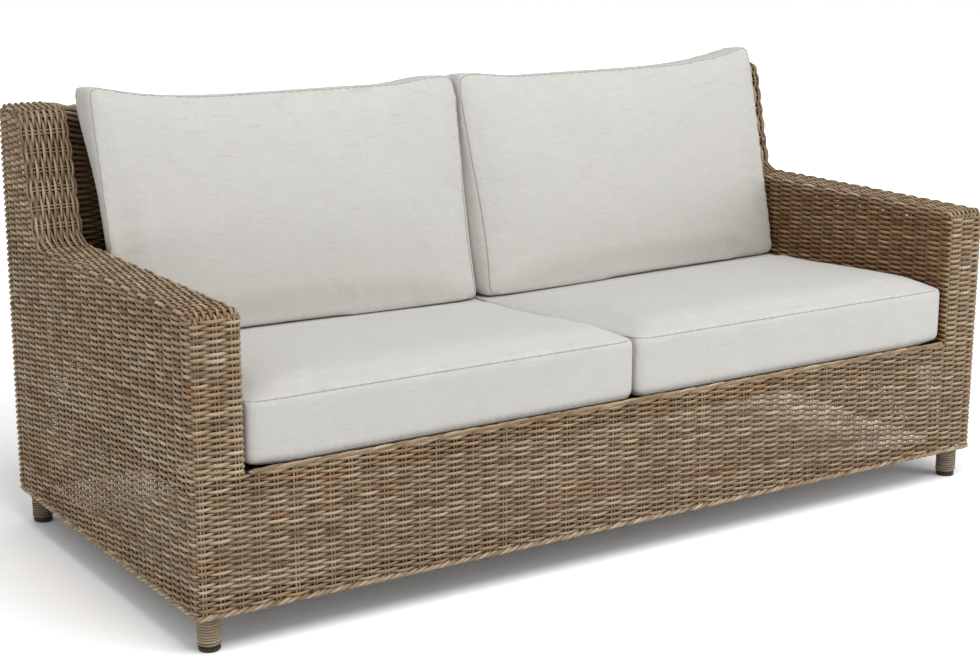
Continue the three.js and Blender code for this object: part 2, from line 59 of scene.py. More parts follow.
SKIRT_BOTTOM, SKIRT_RIM_TOP = (corner[2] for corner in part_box("rim_skirt_front"))
APRON_WEAVE_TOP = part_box("rim_apron")[0][2]

# Rounded edges of the woven body: upright corners, edges along the arms, and bends over them
CORNER_ROUND = 0.017
REAR_BEND = HALF_DEPTH - CORNER_ROUND
OUTER_ROUND = 0.020
INNER_ROUND = 0.018
BEND_ROUND = 0.0215
WING_BEND = 0.046
ARM_CORNER = 0.010
BACK_DIP = 0.011
BACK_DIP_FROM = 0.68
BACK_DIP_SIDES = (0.012, 0.05)
WING_FILLET = 0.030
EDGE_REACH = 0.048

# Weave: pairs of stakes, and round weavers that pass over every other pair
ROW_PITCH = 0.0057
STRIP_PITCH = 0.0062
STRIP_PAIR_PITCH = 0.037
STRIP_TUCKED_ROWS = 3
BACK_PITCH = 0.0058
REAR_WIDE = 1.5
STRIP_WIDE = 1.28
WEAVER_RADIUS = 0.00238
WEAVER_WIDE = 1.32
ARM_WIDE = 1.45
WEAVER_SIZES = (0.9, 1.07)
STAKE_RADIUS = 0.0018
STAKE_SIZES = (0.9, 1.1)
STAKE_SPREAD = 0.0032
WAVE = 0.0038
WEAVER_DRIFT = 0.00045
STAKE_DRIFT = 0.0006
WAVE_DRIFT = 0.12
RADIUS_DRIFT = 0.05
SIDE_PAIRS = 24
ARM_PAIRS = 3
APRON_PAIRS = 46
STEPS_PER_PAIR = 5
TUCK = 0.012
TUCK_DEPTH = 0.007
END_GAP = 0.003
# Where the stakes stand in the weave's painted shade: 0 is as dark as a strand under others, 1 is not
# darkened
STAKE_LIFT = 0.8
PIECE_LIMIT = 190000

SIDES = {"left": -1, "right": 1}

rng = np.random.default_rng(11)


def arm_top(y):
    """Height of the arm's top at a place along the depth, level from the wing's base on."""
    share = (np.minimum(y, WING_BASE_Y) + HALF_DEPTH) / (WING_BASE_Y + HALF_DEPTH)
    return ARM_FRONT_TOP + (ARM_REAR_TOP - ARM_FRONT_TOP) * share


def lean_y(z, behind=0.0):
    """Where the sloping front of the back lies at a height."""
    return WING_BASE_Y + (z - ARM_REAR_TOP) * math.tan(LEAN) + behind / math.cos(LEAN)


def norm(vectors):
    return np.linalg.norm(vectors, axis=-1)


def unit(vectors):
    return vectors / norm(vectors)[..., None]


def rows_at(places, known, rows):
    """Rows of numbers, such as points, read between the places where they are known."""
    return np.stack([np.interp(places, known, column) for column in rows.T], -1)


def with_height(plan, height=0.0):
    """Points or directions in plan, with a height."""
    return np.column_stack([plan, np.broadcast_to(height, len(plan))])


def add_object(name, data):
    made = bpy.data.objects.new(name, data)
    bpy.context.scene.collection.objects.link(made)
    return made


def fill(data, name, values, kind=np.float32):
    data.foreach_set(name, np.asarray(values).astype(kind).ravel())


def read(mesh, name="co"):
    """Where the points of a mesh lie, or their normals."""
    values = np.zeros(len(mesh.vertices) * 3, np.float32)
    mesh.vertices.foreach_get(name, values)
    return values.reshape(-1, 3).astype(float)


def smooth(values, low, high):
    t = np.clip((values - low) / (high - low), 0, 1)
    return t * t * (3 - 2 * t)


def back_dip(x, z):
    """How far the back's top has sunk between the wings."""
    past, fade = BACK_DIP_SIDES
    between = smooth(ARM_INNER + past - np.abs(x), 0, fade)
    return BACK_DIP * smooth(z, BACK_DIP_FROM, BACK_TOP) * between


class Nodes:
    """Short calls to add and join the nodes of a tree."""

    def __init__(self, tree):
        self.tree = tree

    def node(self, kind, inputs=None, **settings):
        made = self.tree.nodes.new("ShaderNode" + kind)
        for key, value in settings.items():
            setattr(made, key, value)
        for key, value in (inputs or {}).items():
            self.put(made.inputs[key], value)
        return made

    def put(self, socket, value):
        """Joins a node or a socket to the socket, or gives it a number or a #rrggbb colour."""
        if isinstance(value, bpy.types.Node):
            value = value.outputs[0]
        if isinstance(value, bpy.types.NodeSocket):
            self.tree.links.new(value, socket)
        else:
            socket.default_value = rgb(value) if isinstance(value, str) else value

    def math(self, operation, *values):
        return self.node("Math", dict(enumerate(values)), operation=operation)

    def product(self, first, *parts):
        for part in parts:
            first = self.math("MULTIPLY", first, part)
        return first

    def place(self):
        return self.node("TexCoord").outputs["Object"]

    def split(self, vector):
        return self.node("SeparateXYZ", {0: vector}).outputs

    def vector(self, *parts):
        return self.node("CombineXYZ", dict(enumerate(parts)))

    def noise(self, vector, scale, detail=3.0, roughness=0.5):
        settings = {"Vector": vector, "Scale": scale, "Detail": detail, "Roughness": roughness}
        return self.node("TexNoise", settings).outputs["Fac"]

    def ramp(self, factor, *stops):
        made = self.node("ValToRGB", {"Fac": factor})
        elements = made.color_ramp.elements
        while len(elements) < len(stops):
            elements.new(0.5)
        for element, (place, color) in zip(elements, stops):
            element.position = place
            element.color = rgb(color) if isinstance(color, str) else (color, color, color, 1)
        return made.outputs["Color"]

    def slope(self, value, one, zero):
        """1 at one value and beyond it, 0 at the other and beyond that."""
        ends = {"From Min": one, "From Max": zero, "To Min": 1.0, "To Max": 0.0}
        return self.node("MapRange", {"Value": value, **ends})

    def mix(self, factor, a, b, blend="MIX"):
        made = self.node("Mix", data_type="RGBA", blend_type=blend)
        self.put(made.inputs["Factor"], factor)
        for socket, color in zip([i for i in made.inputs if i.type == "RGBA"], (a, b)):
            self.put(socket, color)
        return next(o for o in made.outputs if o.type == "RGBA")

    def tint(self, color, other, share, mask, blend="MIX"):
        """The colour with a share of another one where the mask is 1."""
        return self.mix(self.product(mask, share), color, other, blend)


class Look(Nodes):
    """A node material."""

    def __init__(self, name, roughness, specular=0.35, **more):
        self.material = bpy.data.materials.new(name)
        self.material.use_nodes = True
        super().__init__(self.material.node_tree)
        self.shader = self.tree.nodes["Principled BSDF"].inputs
        settings = {"Roughness": roughness, "Specular IOR Level": specular}
        for key, value in {**settings, **more}.items():
            self.shader[key].default_value = value

    def finish(self, color, height, strength, distance):
        """Gives the shader its colour and its bump, and returns the material."""
        bump = {"Height": height, "Strength": strength, "Distance": distance}
        self.put(self.shader["Base Color"], color)
        self.put(self.shader["Normal"], self.node("Bump", bump))
        return self.material


def rgb(code):
    """The linear colour of a #rrggbb code."""
    parts = [int(code[k : k + 2], 16) / 255 for k in (1, 3, 5)]
    return (*(c / 12.92 if c <= 0.04045 else ((c + 0.055) / 1.055) ** 2.4 for c in parts), 1)


# Painted shade: the arms' inner sides and the back's inner face are darker and browner, for the shade that
# the cushions, arms and wings cast there. Their slopes fall from 1 to 0 away from the arm's inner side,
# along the depth, and upwards
REAR_SLOPE = (0.395, 0.405)
ARM_SHADE = [[(0.009, 0.014), (-0.004, -0.010)], [(-0.430, -0.436), REAR_SLOPE], [(0.595, 0.608)]]
BACK_SHADE = [[(0.001, 0.006)], [(0.21, 0.19), REAR_SLOPE], [(0.835, 0.852)]]
SHADE_TINTS = ((ARM_SHADE, "#ddc8b3"), (BACK_SHADE, "#9f8e7b"))


# 1 where the painted shade of the inner faces falls, and 0 away from it
def in_painted_shade(look, slopes):
    x, y, z = look.split(look.place())
    inset = look.math("SUBTRACT", look.math("ABSOLUTE", x), ARM_INNER)
    groups = zip((inset, y, z), slopes)
    return look.product(*(look.slope(value, *ends) for value, group in groups for ends in group))


def batch(look, scales, shift):
    """Where the weave was worked with another batch of rattan."""
    parts = zip(look.split(look.place()), scales)
    moved = look.vector(*(look.math("MULTIPLY_ADD", part, scale, shift) for part, scale in parts))
    return look.ramp(look.noise(moved, 1.0, 3.0, 0.55), (0.5, 0.0), (0.64, 1.0))


def strand_look(name, stops, tan, tan_share, dark):
    """Weathered rattan: each strand has its own tone, which drifts along it, with painted shade where
    strands dive under others and on the faces kept from the light.
    """
    look = Look(name, 0.62)
    along, lane, turn = look.split(look.node("Attribute", attribute_name="strand").outputs["Vector"])
    lift = look.node("Attribute", attribute_name="lift").outputs["Fac"]
    own = look.product(lane, 97.0)

    def streaks(scale, shift, detail=2.0, roughness=0.5):
        place = look.vector(look.product(along, scale), own, shift)
        return look.noise(place, 1.0, detail, roughness)

    quick = look.product(streaks(26.0, 3.0, 3.0, 0.6), 0.75)
    tone = look.math("MULTIPLY_ADD", streaks(7.0, 0.0), 0.9, quick)
    tone = look.math("ADD", tone, look.product(lane, 0.35))
    color = look.ramp(look.math("MULTIPLY_ADD", tone, 0.9, -0.4), *stops)
    patch = look.ramp(streaks(11.0, 9.0), (1 - tan_share, 0.0), (1 - tan_share * 0.7, 1.0))
    faded = look.ramp(streaks(5.0, 21.0), (0.5, 0.0), (0.62, 1.0))
    color = look.tint(color, tan, 0.6, patch)
    color = look.tint(color, "#a0937f", 0.3, faded)
    color = look.tint(color, "#a57c50", 0.26, batch(look, (1.6, 1.6, 30.0), 4.0), "SOFT_LIGHT")
    color = look.tint(color, "#5f5a45", 0.2, batch(look, (5.0, 5.0, 9.0), 11.0), "SOFT_LIGHT")
    fibre = streaks(45.0, look.product(turn, 14.0), 3.0, 0.65)
    color = look.mix(0.8, color, look.ramp(fibre, (0.3, 0.72), (0.7, 1.08)), "MULTIPLY")
    # Painted shade: strands are darker where they dive under others, by their lift in the weave
    color = look.mix(1.0, color, look.ramp(lift, (0.0, dark), (0.85, 1.0)), "MULTIPLY")
    # Painted shade: darker, browner strands on the arms' inner sides and the back's inner face
    for slopes, tint in SHADE_TINTS:
        painted_shade = look.mix(in_painted_shade(look, slopes), "#ffffff", tint)
        color = look.mix(1.0, color, painted_shade, "MULTIPLY")
    return look.finish(color, fibre, 0.35, 0.0004)


RATTAN_STOPS = [(0.0, "#51402b"), (0.25, "#80694e"), (0.5, "#a58d70"), (0.72, "#c1ae92"), (1.0, "#d8c9b0")]
COIL_STOPS = [(0.0, "#47392a"), (0.3, "#6f614b"), (0.6, "#998a76"), (1.0, "#bbac96")]
# The last number is how dark the painted shade makes a strand where it dives under others
rattan = strand_look("woven_rattan", RATTAN_STOPS, "#b0875f", 0.42, 0.4)
rattan_rope = strand_look("rattan_rope", RATTAN_STOPS, "#a9794a", 0.36, 0.35)
split_cane = strand_look("split_cane", COIL_STOPS, "#8f7355", 0.36, 0.5)


def grain_look(name, axis, stops, roughness, fine, rings=0.0):
    """Wood or cane with its grain along an axis, and rings at its growth joints."""
    look = Look(name, roughness, 0.3)
    parts = look.split(look.place())
    scales = [fine, fine, fine]
    scales[axis] = fine * 0.04
    place = look.vector(*(look.product(part, scale) for part, scale in zip(parts, scales)))
    broad = look.noise(place, 0.25, 3.0)
    grain = look.noise(place, 1.0, 4.0, 0.65)
    color = look.ramp(look.math("MULTIPLY_ADD", broad, 0.5, look.product(grain, 0.5)), *stops)
    height = grain
    if rings:
        wobble = look.math("MULTIPLY_ADD", broad, 0.35, look.product(parts[axis], rings))
        cycle = look.math("FRACT", wobble)
        ring = look.ramp(cycle, (0.0, 0.0), (0.02, 1.0), (0.05, 0.25), (0.08, 0.0))
        color = look.tint(color, stops[0][1], 0.6, ring)
        height = look.math("ADD", grain, ring)
    return look.finish(color, height, 0.4, 0.0006)


POLE_STOPS = [(0.3, "#2c2117"), (0.5, "#4a3828"), (0.7, "#66503a")]
# The slats are very dark: wood colour with painted shade for the gap under the seat cushions' front
SHADED_SLAT_STOPS = [(0.3, "#1f1811"), (0.5, "#33281c"), (0.7, "#463827")]
GLIDE_STOPS = [(0.3, "#1d1b19"), (0.7, "#2b2926")]
POLES = ("leg_", "lower_rail_", "seat_rail_", "seat_beam", "arm_", "back_stile_", "back_top_rail")


def dress_cad():
    """Gives the nodes that stay as they are their own materials, with the grain lengthwise."""
    poles = [grain_look(f"rattan_pole_{k + 1}", k, POLE_STOPS, 0.5, 420.0, 4.0) for k in range(3)]
    slat = grain_look("slat_wood", 0, SHADED_SLAT_STOPS, 0.7, 300.0)
    glide = grain_look("glide_plastic", 2, GLIDE_STOPS, 0.45, 900.0)
    for name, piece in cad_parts.items():
        low, high = np.array(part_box(name))
        if name.startswith("glide_"):
            look = glide
        elif name.startswith("seat_slat_"):
            look = slat
        elif name.startswith(POLES):
            look = poles[int(np.argmax(high - low))]
        else:
            continue
        for slot in piece.material_slots:
            slot.material = look


def linen_look(name, light, mid, dark):
    """Slubby linen: thick and thin threads both ways, streaks along them, and a soft mottling."""
    look = Look(name, 0.95, 0.12, **{"Sheen Weight": 0.15, "Sheen Roughness": 0.6})
    place = look.place()
    x, y, z = look.split(place)
    up = look.math("SUBTRACT", z, y)

    def threads(across, along, fine, long, detail=2.0):
        place = look.vector(look.product(across, fine), look.product(along, long))
        return look.noise(place, 1.0, detail, 0.6)

    weft = threads(up, x, 380.0, 26.0)
    warp = threads(x, up, 420.0, 24.0)
    broad = threads(up, x, 150.0, 22.0, 1.0)
    level = 0.0
    for share, part in ((0.44, weft), (0.34, warp), (0.22, broad)):
        level = look.math("MULTIPLY_ADD", part, share, level)
    slub = look.ramp(threads(up, x, 260.0, 15.0), (0.60, 0.0), (0.72, 1.0))
    bar = look.ramp(threads(x, up, 250.0, 14.0), (0.62, 0.0), (0.74, 1.0))
    pale = look.ramp(threads(up, x, 190.0, 11.0), (0.62, 0.0), (0.76, 1.0))
    color = look.ramp(level, (0.34, mid), (0.66, light))
    for mask, share, other in ((slub, 0.3, dark), (bar, 0.2, dark), (pale, 0.25, light)):
        color = look.tint(color, other, share, mask)
    shade = look.ramp(look.noise(place, 9.0, 3.0), (0.3, 0.97), (0.7, 1.0))
    color = look.mix(1.0, color, shade, "MULTIPLY")
    return look.finish(color, look.math("ADD", level, look.product(slub, 0.4)), 0.22, 0.0005)


linen = linen_look("linen", "#cdcbc7", "#c3c1bb", "#aaa69e")
seam_linen = linen_look("seam_linen", "#b0ada6", "#a29f97", "#8e8a81")


class Track:
    """A line in a plane with rounded corners, read by its length. Its normals point to its right,
    or to its left where side is -1."""

    def __init__(self, corners, side=1, step=0.002):
        spots = [np.array(corner[:2], float) for corner in corners]
        points = spots[:1]
        for *three, corner in zip(spots, spots[1:], spots[2:], corners[1:]):
            points += self.bend(*three, corner[2])
        rough = np.array(points + spots[-1:])
        rough = rough[np.concatenate([[True], norm(np.diff(rough, axis=0)) > 1e-9])]
        lengths = self.lengths_of(rough)
        self.side, self.length = side, lengths[-1]
        self.s = np.linspace(0, self.length, max(2, int(self.length / step)))
        self.points = rows_at(self.s, lengths, rough)
        along = unit(np.gradient(self.points, axis=0))
        self.normals = np.stack([along[:, 1], -along[:, 0]], 1) * side

    @staticmethod
    def lengths_of(points):
        return np.concatenate([[0], np.cumsum(norm(np.diff(points, axis=0)))])

    @staticmethod
    def bend(before, here, after, radius):
        back, ahead = unit(before - here), unit(after - here)
        half = math.acos(np.clip(back @ ahead, -1, 1)) / 2
        reach = radius / math.tan(half)
        centre = here + unit(back + ahead) * radius / math.sin(half)
        start, end = here + back * reach - centre, here + ahead * reach - centre
        turn = math.pi - 2 * half
        steps = max(2, int(turn / 0.12))
        shares = np.linspace(0, 1, steps + 1)
        weights = np.sin((1 - shares) * turn), np.sin(shares * turn)
        return [centre + (start * a + end * b) / math.sin(turn) for a, b in zip(*weights)]

    def at(self, s):
        """Points and outward normals at lengths s, straight on beyond the ends."""
        inside = np.clip(s, 0, self.length)
        point = rows_at(inside, self.s, self.points)
        normal = unit(rows_at(inside, self.s, self.normals))
        along = np.stack([-normal[..., 1], normal[..., 0]], -1) * self.side
        return point + along * (s - inside)[..., None], normal

    def nearest(self, places):
        distances = norm(self.points - np.array(places)[:, None])
        return self.s[distances.argmin(1)]


class Strands:
    """Round strands gathered into one mesh, with a note on each point for the shader."""

    def __init__(self, sides=5):
        self.sides = sides
        self.points, self.notes, self.lifts, self.spans = [], [], [], []
        self.triangles = 0

    def add(self, line, normals, radius, lift=1.0, wide=1.0):
        line = np.asarray(line, float)
        count = len(line)
        along = np.gradient(line, axis=0)
        along /= norm(along)[:, None] + 1e-9
        up = unit(normals - along * np.sum(normals * along, axis=1)[:, None])
        across = np.cross(along, up)
        turns = (np.arange(self.sides) + 0.5) / self.sides
        angles = (math.pi + math.tau * turns)[:, None]
        ring = up[:, None] * np.cos(angles) + across[:, None] * np.sin(angles) * wide
        ring = ring * np.broadcast_to(radius, count)[:, None, None]
        self.points.append((line[:, None] + ring).reshape(-1, 3))
        note = np.broadcast_arrays(Track.lengths_of(line)[:, None], rng.random(), turns[None])
        self.notes.append(np.stack(note, -1).reshape(-1, 3))
        self.lifts.append(np.repeat(np.broadcast_to(lift, count), self.sides))
        self.spans.append(count)
        self.triangles += 2 * self.sides * (count - 1) + 2 * (self.sides - 2)

    def faces(self):
        """Quads along each strand, and a cap at each end."""
        ring = np.arange(self.sides)
        quads, caps, start = [], [], 0
        for count in self.spans:
            a = start + np.arange(count - 1)[:, None] * self.sides
            here, there = a + ring, a + (ring + 1) % self.sides
            quads.append(np.stack([here, there, there + self.sides, here + self.sides], -1))
            caps += [start + ring[::-1], start + (count - 1) * self.sides + ring]
            start += count * self.sides
        return np.concatenate([q.reshape(-1, 4) for q in quads]), np.array(caps)

    def build(self, name, material, slot, *nodes, body="frame"):
        """Makes the piece, which takes the place of the nodes."""
        mesh = bpy.data.meshes.new(name)
        quads, caps = self.faces()
        points = np.concatenate(self.points)
        mesh.from_pydata(points.tolist(), [], quads.tolist() + caps.tolist())
        fill(mesh.polygons, "use_smooth", np.arange(len(mesh.polygons)) < len(quads), bool)
        notes = mesh.attributes.new("strand", "FLOAT_VECTOR", "POINT")
        fill(notes.data, "vector", np.concatenate(self.notes))
        lifts = mesh.attributes.new("lift", "FLOAT", "POINT")
        fill(lifts.data, "value", np.concatenate(self.lifts))
        self.lay_out(mesh, quads, caps)
        mesh.materials.append(material)
        add_piece(name, mesh, body, slot, *nodes)

    def lay_out(self, mesh, quads, caps):
        """Gives every strand its own band of the bake map."""
        longest, bands = max(self.spans), len(self.spans)
        u, v = [], []
        for k, count in enumerate(self.spans):
            place, turn = np.divmod(np.arange(count * self.sides), self.sides)
            u.append((place + 0.5) / (longest + 1))
            v.append((k + 0.1 + 0.8 * turn / self.sides) / bands)
        corners = np.concatenate([quads.ravel(), caps.ravel()])
        u, v = np.concatenate(u)[corners], np.concatenate(v)[corners]
        quad_v = v[: quads.size].reshape(quads.shape)
        quad_v[self.sides - 1 :: self.sides, 1:3] += 0.8 / bands
        fill(mesh.uv_layers.new(name="OFBake").data, "uv", np.stack([u, v], 1))


def add_piece(name, mesh, body, slot, *nodes):
    piece = add_object(name, mesh)
    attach(piece, body)
    if nodes:
        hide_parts(*nodes)
    return piece


class Weave:
    """Weavers and pairs of stakes on a surface, split over as many meshes as they need."""

    def __init__(self, name, surface, pairs, *nodes):
        self.name, self.surface, self.nodes = name, surface, nodes
        self.pairs = with_ends(pairs)
        self.pieces = [Strands()]

    def add(self, *strand, **more):
        if self.pieces[-1].triangles > PIECE_LIMIT:
            self.pieces.append(Strands())
        self.pieces[-1].add(*strand, **more)

    def steps(self, low, high, per_pair=STEPS_PER_PAIR):
        """Places along a row: a few for each pair, with both ends."""
        numbers = np.arange(len(self.pairs))
        inner = np.interp(np.arange(0, numbers[-1] + 1e-6, 1 / per_pair), numbers, self.pairs)
        inner = inner[(inner > low + END_GAP) & (inner < high - END_GAP)]
        return np.concatenate([[low], inner, [high]])

    def weaver(self, u, v, row, depth=0.0, wide=WEAVER_WIDE):
        """One weaver along u at v. Its wave is 1 where it lies over a pair and -1 under one."""
        wave = np.cos(math.pi * (np.interp(u, self.pairs, np.arange(len(self.pairs))) + row))
        radius = WEAVER_RADIUS * rng.uniform(*WEAVER_SIZES)
        point, normal = self.surface(u, v + wander(u, WEAVER_DRIFT))
        height = -WAVE - WEAVER_RADIUS + WAVE * wave * (1 + wander(u, WAVE_DRIFT)) - depth
        line = point + normal * height[:, None]
        across = radius * (1 + wander(u, RADIUS_DRIFT))
        # The lift paints shade on the weaver where it passes under a pair
        self.add(line, normal, across, lift=(wave + 1) / 2, wide=wide)

    def stakes(self, pairs, low, high, steps):
        """Pairs of stakes across the weavers, from one v to another."""
        v = np.linspace(low, high, steps)
        for u, shift in itertools.product(pairs, (-STAKE_SPREAD, STAKE_SPREAD)):
            point, normal = self.surface(u + shift + wander(v, STAKE_DRIFT), v)
            line = point - normal * (WAVE + WEAVER_RADIUS)
            radius = STAKE_RADIUS * rng.uniform(*STAKE_SIZES)
            self.add(line, normal, radius, lift=STAKE_LIFT)

    def finish(self):
        for k, strands in enumerate(self.pieces):
            name = self.name if len(self.pieces) == 1 else f"{self.name}_{k + 1}"
            strands.build(name, rattan, "woven_rattan", *(() if k else self.nodes))


def wander(u, size):
    """A slow random drift along a strand."""
    phases = rng.uniform(0, math.tau, 3)
    waves = rng.uniform(9, 70, 3)
    return size * np.mean([np.sin(u * w + p) for w, p in zip(waves, phases)], axis=0)


def with_ends(pairs):
    """The pairs with further ones beyond both ends, so that the wave runs on there."""
    before = pairs[0] - (pairs[1] - pairs[0]) * np.arange(3, 0, -1)
    after = pairs[-1] + (pairs[-1] - pairs[-2]) * np.arange(1, 4)
    return np.concatenate([before, pairs, after])


# The belt: rows that run level round the sofa, from the skirt's rim up

BELT_ROWS = round((ARM_REAR_TOP - SKIRT_RIM_TOP) / ROW_PITCH)
SIDE_PLACES = -HALF_DEPTH + (np.arange(SIDE_PAIRS) + 0.5) * 2 * HALF_DEPTH / SIDE_PAIRS
ARM_PLACES = ARM_INNER + (np.arange(ARM_PAIRS) + 0.5) * ARM_WIDTH / ARM_PAIRS
APRON_PLACES = -ARM_INNER + (np.arange(APRON_PAIRS) + 0.5) * 2 * ARM_INNER / APRON_PAIRS
FRONT_PLACES = np.concatenate([-ARM_PLACES[::-1], APRON_PLACES, ARM_PLACES])


def pairs_on(track, *groups):
    """Where along a track the pairs of stakes stand, from their places in plan."""
    places = [np.stack(np.broadcast_arrays(*group), 1) for group in groups]
    return track.nearest(np.concatenate(places))


def belt_height(y, share):
    return SKIRT_RIM_TOP + share * (arm_top(y) - SKIRT_RIM_TOP)


def share_at(z, top=ARM_REAR_TOP):
    """The share of the belt's height that a level at the rear, or under another top, has."""
    return (z - SKIRT_RIM_TOP) / (top - SKIRT_RIM_TOP)


def base_track():
    """Round the whole base, from the middle of the back."""
    w, d, r = HALF_WIDTH, HALF_DEPTH, CORNER_ROUND
    return Track([(0, d), (-w, d, r), (-w, -d, r), (w, -d, r), (w, d, r), (0, d)])


def weave_base():
    track = base_track()
    half = FRONT_PLACES[FRONT_PLACES > 0]
    pairs = pairs_on(
        track,
        (-half, HALF_DEPTH),
        (-HALF_WIDTH, SIDE_PLACES[::-1]),
        (FRONT_PLACES, -HALF_DEPTH),
        (HALF_WIDTH, SIDE_PLACES),
        (half[::-1], HALF_DEPTH),
    )

    def surface(u, share):
        point, normal = track.at(u)
        return with_height(point, belt_height(point[:, 1], share)), with_height(normal)

    weave = Weave("weave_base", surface, pairs, "skin_apron")
    u = weave.steps(0, track.length)
    last = share_at(APRON_WEAVE_TOP, ARM_FRONT_TOP)
    shares = (np.arange(BELT_ROWS) + 0.5) / BELT_ROWS
    shares = shares[shares < last + 0.8 / BELT_ROWS]
    for row, share in enumerate(shares):
        weave.weaver(u, share, row)
    weave.stakes(pairs, -0.01, last + 0.01, steps=22)
    weave.finish()
    return len(shares)


def edge_y(z):
    """Where the rounded front edge of a wing starts on the sofa's outer side."""
    line = STRIP_TRACK.points - OUTER_ROUND * STRIP_TRACK.normals
    part = (line[:, 0] > WING_BASE_Y - 2 * WING_FILLET) & (line[:, 0] < WING_TOP_Y + EDGE_REACH)
    return np.interp(z, line[part, 1], line[part, 0])


def upper_track():
    """From the right arm's inner side round the back to the left arm's inner side."""
    w, d, a, r = HALF_WIDTH, HALF_DEPTH, ARM_INNER, CORNER_ROUND
    rear = lean_y(ARM_REAR_TOP, BACK_INSET) + TUCK
    outside = [(w, -d, r), (w, d, r), (-w, d, r), (-w, -d, r)]
    inside = ARM_CORNER
    return Track([(a, rear), (a, -d, inside), *outside, (-a, -d, inside), (-a, rear)])


def upper_surface(track):
    def surface(u, share):
        point, normal = track.at(u)
        x, y = point.T
        z = belt_height(y, share)
        front = np.where(z > ARM_REAR_TOP, lean_y(z), WING_BASE_Y)
        part = np.clip((y - WING_BASE_Y) / (REAR_BEND - WING_BASE_Y), 0, 1)
        on_wing = (np.abs(x) > ARM_INNER + ARM_WIDTH / 2) & (part > 0) & (part < 1)
        y = np.where(on_wing, front + part * (REAR_BEND - front), y)
        z = z - np.where(y > REAR_BEND, back_dip(x, z), 0)
        return np.column_stack([x, y, z]), with_height(normal)

    return surface


def wing_start(track, z, side):
    """Where a row above the arms starts, tucked under the wing's front edge."""
    front = max(lean_y(z), WING_BASE_Y)
    part = (edge_y(z) - TUCK / 3 - front) / (REAR_BEND - front)
    return track.nearest([(side * HALF_WIDTH, WING_BASE_Y + part * (REAR_BEND - WING_BASE_Y))])[0]


def inner_end(track, z, side):
    """Where a row on an arm's inner side ends, behind the face of the woven back."""
    y = lean_y(z, BACK_INSET) + TUCK / 2
    return track.nearest([(side * ARM_INNER, y)])[0]


def upper_pairs(track):
    inner = SIDE_PLACES[SIDE_PLACES < WING_BASE_Y]
    return pairs_on(
        track,
        (ARM_INNER, inner[::-1]),
        (ARM_PLACES, -HALF_DEPTH),
        (HALF_WIDTH, SIDE_PLACES),
        (FRONT_PLACES[::-1], HALF_DEPTH),
        (-HALF_WIDTH, SIDE_PLACES[::-1]),
        (-ARM_PLACES[::-1], -HALF_DEPTH),
        (-ARM_INNER, inner),
    )


def weave_upper(first_row):
    track = upper_track()
    pairs = upper_pairs(track)
    skins = ["side", "arm_front", "arm_inner"]
    nodes = [f"skin_{skin}_{side}" for skin in skins for side in SIDES]
    weave = Weave("weave_body", upper_surface(track), pairs, *nodes, "skin_back_outer")
    full = share_at(ARM_REAR_TOP - OUTER_ROUND)
    highest = share_at(BACK_TOP - OUTER_ROUND)
    row = first_row
    while (share := (row + 0.5) / BELT_ROWS) < highest:
        z = belt_height(HALF_DEPTH, share)
        find, wide = (inner_end, ARM_WIDE) if share < full else (wing_start, REAR_WIDE)
        u = weave.steps(find(track, z, 1), find(track, z, -1))
        weave.weaver(u, share, row, wide=wide)
        row += 1
    bottom = first_row / BELT_ROWS - 0.01
    for place in pairs:
        (x, y), _ = track.at(place)
        on_wing = y > edge_y(ARM_REAR_TOP) and abs(x) > ARM_INNER + 0.01
        on_back = y > HALF_DEPTH - 2 * CORNER_ROUND
        top, steps = (highest, 70) if on_wing or on_back else (full, 40)
        weave.stakes([place], bottom, top, steps)
    weave.finish()


# The strips: lengthwise strands over the arms, up the wings and over them

OUTER_ARC = OUTER_ROUND * math.pi / 2
INNER_ARC = INNER_ROUND * math.pi / 2
STRIP_FLAT = ARM_WIDTH - OUTER_ROUND - INNER_ROUND
STRIP_ACROSS = OUTER_ARC + STRIP_FLAT + INNER_ARC
STRIP_TRACK = Track(
    [
        (-HALF_DEPTH, ARM_FRONT_TOP - BEND_ROUND - TUCK / 4),
        (-HALF_DEPTH, ARM_FRONT_TOP, BEND_ROUND),
        (WING_BASE_Y, ARM_REAR_TOP, WING_FILLET),
        (WING_TOP_Y, BACK_TOP, WING_BEND),
        (HALF_DEPTH, BACK_TOP, BEND_ROUND),
        (HALF_DEPTH, BACK_TOP - BEND_ROUND - TUCK),
    ],
    side=-1,
)


def strip_section(w):
    """How far in and down a place across the strip lies, and the two parts of its normal."""
    outer = np.clip(w / OUTER_ROUND, 0, math.pi / 2)
    inner = np.clip((STRIP_ACROSS - w) / INNER_ROUND, 0, math.pi / 2)
    ends = [w < OUTER_ARC, w > STRIP_ACROSS - INNER_ARC]
    cut = [OUTER_ROUND * (1 - np.sin(outer)), INNER_ROUND * (1 - np.sin(inner))]
    edge_x = [OUTER_ROUND * (1 - np.cos(outer)), ARM_WIDTH - INNER_ROUND * (1 - np.cos(inner))]
    x = np.select(ends, edge_x, OUTER_ROUND + w - OUTER_ARC)
    depth = np.select(ends, cut) + np.maximum(w - STRIP_ACROSS, 0)
    sideways = np.select(ends, [np.cos(outer), -np.cos(inner)])
    up = np.select(ends, [np.sin(outer), np.sin(inner)], 1)
    return x, depth, sideways, up


def strip_surface(side):
    def surface(s, w):
        s, w = np.broadcast_arrays(s, w)
        point, normal = STRIP_TRACK.at(s)
        x, depth, sideways, up = strip_section(w)
        y, z = (point - normal * depth[:, None]).T
        facing = np.column_stack([side * sideways, up * normal[:, 0], up * normal[:, 1]])
        return np.column_stack([side * (HALF_WIDTH - x), y, z]), facing

    return surface


